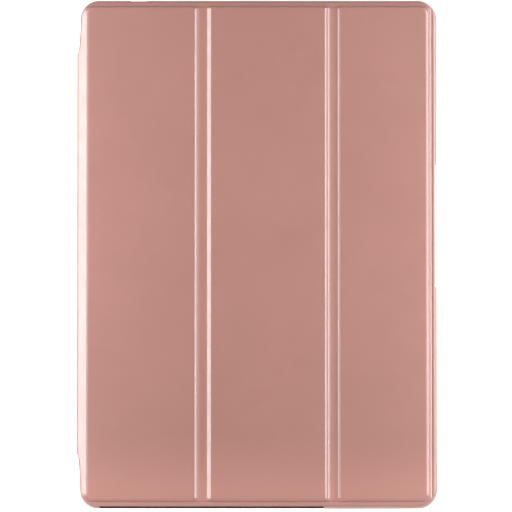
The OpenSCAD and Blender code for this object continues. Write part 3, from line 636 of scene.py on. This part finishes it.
def spine_panel():
    """Leather from half way up the spine, over the corner and along the first panel to its seam."""
    flat = spaced((FLAT_FROM, FINE), (BOARD_X[0][0] + 1.5, 0.5), (FLAP_LEFT + FLAP_CORNER, COARSE),
                  (SEAM_X[0], 1))
    outer, inner = flap_faces(flat)
    centre_z = outer[0, :, 2] - CORNER_R * math.cos(CORNER_SLOPE)
    columns_outer, columns_inner = [], []

    def column(x, height, turn, thick):
        """One column of the spine's leather; turn is 0 on the upright face."""
        limit = float(half_y(np.array([x]))[0])
        y = MID_Y + np.clip(ROWS - MID_Y, -limit, limit)
        drop = rolled(np.maximum(limit - np.abs(y - MID_Y), 0), SPINE_EDGE_R, SPINE_EDGE_W)
        across, down = math.cos(turn), -math.sin(turn)
        z = SPINE_SEAM_Z + (centre_z - SPINE_SEAM_Z) * height + CORNER_R * math.sin(turn)
        columns_outer.append(np.stack([x + drop * across, y, z + drop * down], 1))
        inward = thick - np.minimum(drop, thick / 2 - 0.01)
        columns_inner.append(np.stack([x + inward * across, y, z + inward * down], 1))

    for height in np.linspace(0, 1, 5)[:-1]:
        column(SPINE_LEFT, height, 0.0, LEATHER_T)
    last = math.pi / 2 - CORNER_SLOPE
    for turn in np.linspace(0, last, 15)[:-1]:
        thick = LEATHER_T - CORNER_THINNING * turn / last
        column(SPINE_LEFT + CORNER_R * (1 - math.cos(turn)), 1.0, turn, thick)
    outer = np.concatenate([np.array(columns_outer), outer])
    inner = np.concatenate([np.array(columns_inner), inner])
    return closed_sheet("leather_spine_panel", outer, inner, "cover_leather")


def middle_panel():
    """Leather from the first panel's seam, across the first fold, to the middle panel's seam."""
    flat = spaced((SEAM_X[0], 1.8), (BOARD_X[0][1] - 1.6, FINE), (BOARD_X[1][0] + 1.6, COARSE),
                  (SEAM_X[1], 1))
    outer, inner = flap_faces(flat)
    return closed_sheet("leather_middle_panel", outer, inner, "cover_leather")


def free_panel():
    """Leather from the middle panel's seam, across the second fold, to the free edge."""
    flat = spaced((SEAM_X[1], 1.8), (BOARD_X[1][1] - 1.6, FINE), (BOARD_X[2][0] + 1.6, COARSE),
                  (FLAP_RIGHT - FLAP_CORNER, 0.5), (BOARD_X[2][1] - 2.0, FINE), (FLAP_RIGHT - 0.5, 0.08),
                  (FLAP_RIGHT, 1))
    outer, inner = flap_faces(flat)
    return closed_sheet("leather_free_panel", outer, inner, "cover_leather")


def back_flap():
    """Leather from the shell's back, round its lower corner and half way up the spine."""
    strip_right = span("back_strip", 0)[1]
    turn_x = SPINE_LEFT + LOW_CORNER_R
    path = []
    for x in spaced((-strip_right, 0.1), (-strip_right + 0.8, 3.0), (-turn_x, 1)):
        back = -x
        r = rolled(np.array([strip_right - back]), STRIP_EDGE_R)[0]
        path.append(((back, r), (back, STRIP_T - r)))
    for angle in np.radians(np.linspace(0, 90, 25))[1:]:
        thick = STRIP_T - (STRIP_T - LEATHER_T) * angle / (math.pi / 2)
        ends = []
        for r in (LOW_CORNER_R, LOW_CORNER_R - thick):
            ends.append((turn_x - r * math.sin(angle), LOW_CORNER_R - r * math.cos(angle)))
        path.append(tuple(ends))
    for z in spaced((LOW_CORNER_R, 0.7), (SPINE_SEAM_Z, 1))[1:]:
        path.append(((SPINE_LEFT, z), (SPINE_LEFT + LEATHER_T, z)))
    half = spaced((0, 7.0), (SPINE_HALF_Y - 1.2, 0.15), (SPINE_HALF_Y, 1))
    y = np.concatenate([-half[:0:-1], half])
    drop = rolled(SPINE_HALF_Y - np.abs(y), SPINE_EDGE_R)
    outer, inner = [], []
    for (ox, oz), (ix, iz) in path:
        length = math.hypot(ix - ox, iz - oz)
        dx, dz = (ix - ox) / length, (iz - oz) / length
        outer.append(np.stack([ox + drop * dx, y, oz + drop * dz], 1))
        inner.append(np.stack([ix - drop * dx, y, iz - drop * dz], 1))
    return closed_sheet("leather_back_flap", np.array(outer), np.array(inner), "cover_leather")


# Room between the lining and the CAD's own levels for it, its bend at the spine, and its rounded edge.
LINING_GAP = 0.03
LINING_CORNER = 0.9
LINING_EDGE_R = 0.12
LINING_EDGE_W = 0.5


def lining_half_y(x):
    """Half the lining's length at x: the flap's outline moved in by the hem, with a tab on the spine."""
    radius = FLAP_CORNER - HEM
    from_edge = np.minimum(x - FLAP_LEFT, FLAP_RIGHT - x) - HEM
    inner = FLAP_HALF_Y - HEM - radius
    corner = np.sqrt(np.maximum(radius ** 2 - np.maximum(radius - from_edge, 0) ** 2, 0))
    flare = np.clip(1 + from_edge / HEM, 0, 1)
    tab = SPINE_HALF_Y - HEM + (inner - SPINE_HALF_Y + HEM) * flare ** 3
    return np.where(x < FLAP_LEFT + HEM, tab, inner + corner)


def lining_faces(columns):
    """Outer and inner grids of the lining under the flap, pressed in a little along each board."""
    half = lining_half_y(columns)
    x, y = flap_grid(columns, half)
    depth = np.minimum(half[:, None] - np.abs(y - MID_Y), np.maximum(FLAP_RIGHT - HEM - x, 0))
    drop = rolled(depth, LINING_EDGE_R, LINING_EDGE_W)
    face = LINING_Z[0] + LINING_GAP + drop + 0.02 * np.sin(x / 17.0) * np.sin(y / 21.0 + 1)
    for edge in (BOARD_X[0][1], BOARD_X[1][0], BOARD_X[1][1], BOARD_X[2][0]):
        face = face - crease(x - edge, 0.55, 0.1)
    back = np.full_like(face, LINING_Z[1] - LINING_GAP) - drop
    return np.stack([x, y, back], 2), np.stack([x, y, face], 2)


def spine_lining():
    """Lining up the inside of the spine, round its corner and under the first panel."""
    low, high = span("spine_lining", 0)
    base = span("spine_lining", 2)[0]
    outer_x, inner_x = low + LINING_GAP, high - LINING_GAP
    centre_x, centre_z = inner_x + LINING_CORNER, LINING_Z[0] + LINING_GAP - LINING_CORNER
    thick = inner_x - outer_x
    flat = spaced((centre_x, 0.4), (BOARD_X[0][0], COARSE), (SEAM_X[0], 1))
    back, face = lining_faces(flat)
    limit = float(lining_half_y(np.array([centre_x - 1]))[0])
    y = MID_Y + np.clip(ROWS - MID_Y, -limit, limit)
    columns_back, columns_face = [], []
    steps = [(0.0, z) for z in spaced((base + 0.1, 0.7), (centre_z, 1))[:-1]]
    steps += [(turn, centre_z) for turn in np.linspace(0, math.pi / 2, 9)[:-1]]
    for turn, z in steps:
        for radius, into in ((LINING_CORNER + thick, columns_back), (LINING_CORNER, columns_face)):
            into.append(np.stack([np.full_like(y, centre_x - radius * math.cos(turn)), y,
                                  np.full_like(y, z + radius * math.sin(turn))], 1))
    back = np.concatenate([np.array(columns_back), back])
    face = np.concatenate([np.array(columns_face), face])
    return closed_sheet("lining_spine_panel", back, face, "lining")


def lining_columns(start, end, *edges):
    """Columns along X between two seams, close together at the pressed lines."""
    stops = [(start, COARSE)]
    for edge in edges:
        stops += [(edge - 1.5, 0.25), (edge + 1.5, COARSE)]
    return spaced(*stops, (end, 1))


def middle_lining():
    columns = lining_columns(SEAM_X[0], SEAM_X[1], BOARD_X[0][1], BOARD_X[1][0])
    return closed_sheet("lining_middle_panel", *lining_faces(columns), "lining")


def free_lining():
    columns = lining_columns(SEAM_X[1], FLAP_RIGHT - FLAP_CORNER, BOARD_X[1][1], BOARD_X[2][0])
    edge = FLAP_RIGHT - HEM
    last = spaced((FLAP_RIGHT - FLAP_CORNER, 0.5), (edge - 0.6, 0.1), (edge, 1))
    columns = np.concatenate([columns[:-1], last])
    return closed_sheet("lining_free_panel", *lining_faces(columns), "lining")


flap_back = back_flap()
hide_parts("back_strip", "spine_skin")
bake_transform(flap_back)

panel_one = spine_panel()
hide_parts("spine_skin", "cover_skin_1")
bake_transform(panel_one)

panel_two = middle_panel()
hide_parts("cover_skin_2")
panel_three = free_panel()
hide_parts("cover_skin_3")

lining_one = spine_lining()
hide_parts("spine_lining", "cover_lining_1")
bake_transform(lining_one)

lining_two = middle_lining()
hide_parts("cover_lining_2")
lining_three = free_lining()
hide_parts("cover_lining_3")

# The bodies on each side of a fold, and how far to each side of its middle the bend reaches.
FOLDS = [("cover_panel_1", "cover_panel_2", 1.8), ("cover_panel_2", "cover_panel_3", 1.7)]
FOLDED = [(panel_two, lining_two), (panel_three, lining_three)]
for fold_x, (near, far, reach), pieces in zip(FOLD_X, FOLDS, FOLDED):
    for piece in pieces:
        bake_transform(piece)


# ------------------------------------------------------------------ floor, light and camera

# The floor lies a little under the case, so that the case casts no dark edge on it.
FLOOR_LEVEL = -0.012
FLOOR_REACH = 6.0
WALL_RADIUS = 5.9
WALL_TOP = 5.0
WALL_SIDES = 64


def area_light(name, place, target, size, power):
    """A white rectangular light, in metres and watts, turned to its target and unseen by the camera."""
    data = bpy.data.lights.new(name, "AREA")
    data.shape = "RECTANGLE"
    data.size, data.size_y = size
    data.energy = power
    light = bpy.data.objects.new(name, data)
    light.location = place
    light.rotation_euler = (Vector(target) - Vector(place)).to_track_quat("-Z", "Y").to_euler()
    light.visible_camera = False
    bpy.context.scene.collection.objects.link(light)
    return light


def pale_material(name, patch, glow):
    """Near white with soft wide patches, and a glow of its own."""
    g = Graph(name)
    base = g.mix(g.noise(patch, 2, 0.5), (0.93, 0.93, 0.93), (0.96, 0.96, 0.96))
    return g.surface(Base_Color=base, Roughness=0.9, Specular_IOR_Level=0.1,
                     Emission_Color=(1.0, 1.0, 1.0), Emission_Strength=glow)


def studio_object(name, points, faces, material):
    """A mesh of the studio, from points in metres."""
    mesh = bpy.data.meshes.new(name)
    mesh.from_pydata(points, [], faces)
    mesh.materials.append(material)
    obj = bpy.data.objects.new(name, mesh)
    bpy.context.scene.collection.objects.link(obj)
    return obj


def studio_floor():
    signs = ((-1, -1), (1, -1), (1, 1), (-1, 1))
    corners = [(x * FLOOR_REACH, y * FLOOR_REACH, FLOOR_LEVEL) for x, y in signs]
    floor = studio_object("studio_floor", corners, [(0, 1, 2, 3)], pale_material("studio_floor", 600, 0.8))


def studio_wall():
    """A pale wall round the floor, seen only by the camera, so that it lights nothing."""
    angles = [2 * math.pi * k / WALL_SIDES for k in range(WALL_SIDES)]
    points = [(WALL_RADIUS * math.cos(angle), WALL_RADIUS * math.sin(angle), z)
              for z in (FLOOR_LEVEL, WALL_TOP) for angle in angles]
    faces = [(k, (k + 1) % WALL_SIDES, (k + 1) % WALL_SIDES + WALL_SIDES, k + WALL_SIDES)
             for k in range(WALL_SIDES)]
    wall = studio_object("studio_wall", points, faces, pale_material("studio_wall", 900, 0.86))
    wall.visible_diffuse = wall.visible_glossy = wall.visible_transmission = wall.visible_shadow = False


studio_floor()
studio_wall()
# A short strip at each side makes the highlights on the leather's bevels, and a long one above it
# evens out the light. The glass is left out of the short ones, or it would mirror them.
LIGHT_TARGET = (0, 0.04, 0.01)
no_mirror = bpy.data.collections.new("no_mirror")
no_mirror.objects.link(NODES["cover_glass"])
no_mirror.collection_objects[0].light_linking.link_state = "EXCLUDE"
for side, name in ((-1, "left"), (1, "right")):
    strip = area_light(f"strip_{name}", (0.27 * side, 0.04, 0.168), LIGHT_TARGET, (0.42, 0.11), 1.25)
    strip.light_linking.receiver_collection = no_mirror
    fill = area_light(f"fill_{name}", (0.235 * side, 0.04, 0.285), LIGHT_TARGET, (0.9, 0.09), 0.83)
    fill.visible_glossy = False
area_light("soft_near", (0.0, -0.9, 0.45), (0, 0, 0.01), (0.9, 0.3), 1.0)

world = bpy.data.worlds.new("studio")
bpy.context.scene.world = world
world.use_nodes = True
background = world.node_tree.nodes["Background"]
background.inputs["Color"].default_value = (0.97, 0.98, 1.0, 1)
background.inputs["Strength"].default_value = 0.12

bpy.context.scene.view_settings.view_transform = "Standard"

# The camera's distance, its tilt from straight down, and the width that it takes in, in metres.
CAMERA_AWAY = 2.5
CAMERA_TILT = math.radians(2.6)
VIEW_WIDTH = 0.2553
SENSOR_WIDTH = 36
AIM = Vector((-0.0004, -0.0011, COVER_TOP * MM))
camera_data = bpy.data.cameras.new("camera")
camera_data.sensor_width = SENSOR_WIDTH
camera_data.lens = SENSOR_WIDTH * CAMERA_AWAY / VIEW_WIDTH
camera_data.clip_start = 0.1
camera_data.clip_end = 20
camera = bpy.data.objects.new("camera", camera_data)
camera.location = AIM + CAMERA_AWAY * Vector((0, -math.sin(CAMERA_TILT), math.cos(CAMERA_TILT)))
camera.rotation_euler = (CAMERA_TILT, 0, 0)
bpy.context.scene.collection.objects.link(camera)
bpy.context.scene.camera = camera
